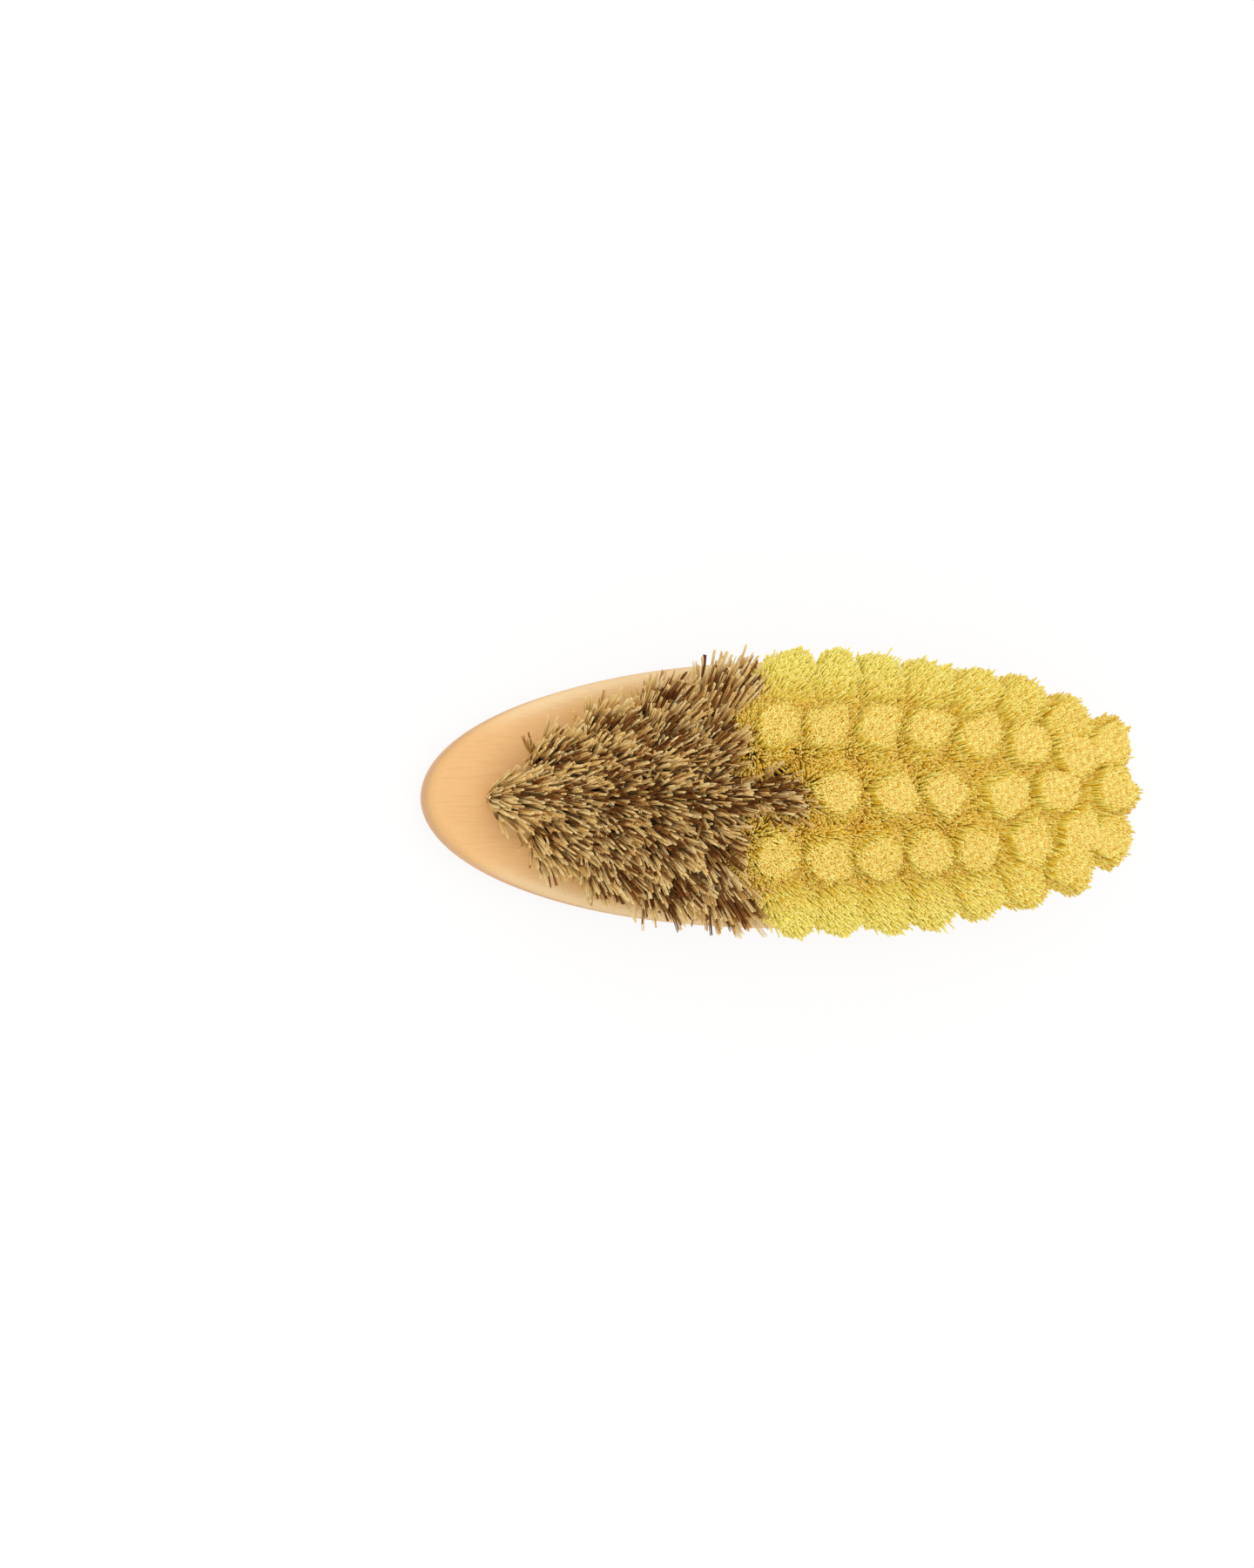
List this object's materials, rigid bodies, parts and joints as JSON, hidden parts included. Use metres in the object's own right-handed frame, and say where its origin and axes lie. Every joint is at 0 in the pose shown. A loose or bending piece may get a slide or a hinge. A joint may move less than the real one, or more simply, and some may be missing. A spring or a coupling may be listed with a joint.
{
  "type": "shoe brush",
  "caption": "Oval beech shoe brush with splayed, staple-set tufts: dark natural hair at the nose and yellow filament towards the heel.",
  "frame": {"origin": "middle of the flat wooden back, on the surface that the brush lies on", "axes": "+X along the block from the dark nose to the yellow heel, +Y across the block, +Z out of the bristle face"},
  "size_m": [0.14, 0.0544, 0.038],
  "materials": {
    "beech": "sanded smooth, thin clear finish",
    "dark_hair": "matte natural hair, dark brown mixed with cream",
    "yellow_filament": "fine matte filament with paler cut ends",
    "staple_steel": "drawn flat wire"
  },
  "bodies": {
    "root": {"handle_block": "beech", "dark_bristles": "dark_hair", "yellow_bristles": "yellow_filament", "dark_tuft_staple_01": "staple_steel", "dark_tuft_staple_02": "staple_steel", "dark_tuft_staple_03": "staple_steel", "dark_tuft_staple_04": "staple_steel", "dark_tuft_staple_05": "staple_steel", "dark_tuft_staple_06": "staple_steel", "dark_tuft_staple_07": "staple_steel", "dark_tuft_staple_08": "staple_steel", "dark_tuft_staple_09": "staple_steel", "dark_tuft_staple_10": "staple_steel", "dark_tuft_staple_11": "staple_steel", "dark_tuft_staple_12": "staple_steel", "dark_tuft_staple_13": "staple_steel", "dark_tuft_staple_14": "staple_steel", "dark_tuft_staple_15": "staple_steel", "dark_tuft_staple_16": "staple_steel", "dark_tuft_staple_17": "staple_steel", "dark_tuft_staple_18": "staple_steel", "dark_tuft_staple_19": "staple_steel", "dark_tuft_staple_20": "staple_steel", "yellow_tuft_staple_01": "staple_steel", "yellow_tuft_staple_02": "staple_steel", "yellow_tuft_staple_03": "staple_steel", "yellow_tuft_staple_04": "staple_steel", "yellow_tuft_staple_05": "staple_steel", "yellow_tuft_staple_06": "staple_steel", "yellow_tuft_staple_07": "staple_steel", "yellow_tuft_staple_08": "staple_steel", "yellow_tuft_staple_09": "staple_steel", "yellow_tuft_staple_10": "staple_steel", "yellow_tuft_staple_11": "staple_steel", "yellow_tuft_staple_12": "staple_steel", "yellow_tuft_staple_13": "staple_steel", "yellow_tuft_staple_14": "staple_steel", "yellow_tuft_staple_15": "staple_steel", "yellow_tuft_staple_16": "staple_steel", "yellow_tuft_staple_17": "staple_steel", "yellow_tuft_staple_18": "staple_steel", "yellow_tuft_staple_19": "staple_steel", "yellow_tuft_staple_20": "staple_steel", "yellow_tuft_staple_21": "staple_steel", "yellow_tuft_staple_22": "staple_steel", "yellow_tuft_staple_23": "staple_steel", "yellow_tuft_staple_24": "staple_steel", "yellow_tuft_staple_25": "staple_steel", "yellow_tuft_staple_26": "staple_steel", "yellow_tuft_staple_27": "staple_steel", "yellow_tuft_staple_28": "staple_steel", "yellow_tuft_staple_29": "staple_steel", "yellow_tuft_staple_30": "staple_steel", "yellow_tuft_staple_31": "staple_steel", "yellow_tuft_staple_32": "staple_steel", "yellow_tuft_staple_33": "staple_steel", "yellow_tuft_staple_34": "staple_steel", "yellow_tuft_staple_35": "staple_steel", "yellow_tuft_staple_36": "staple_steel"}
  },
  "joints": []
}
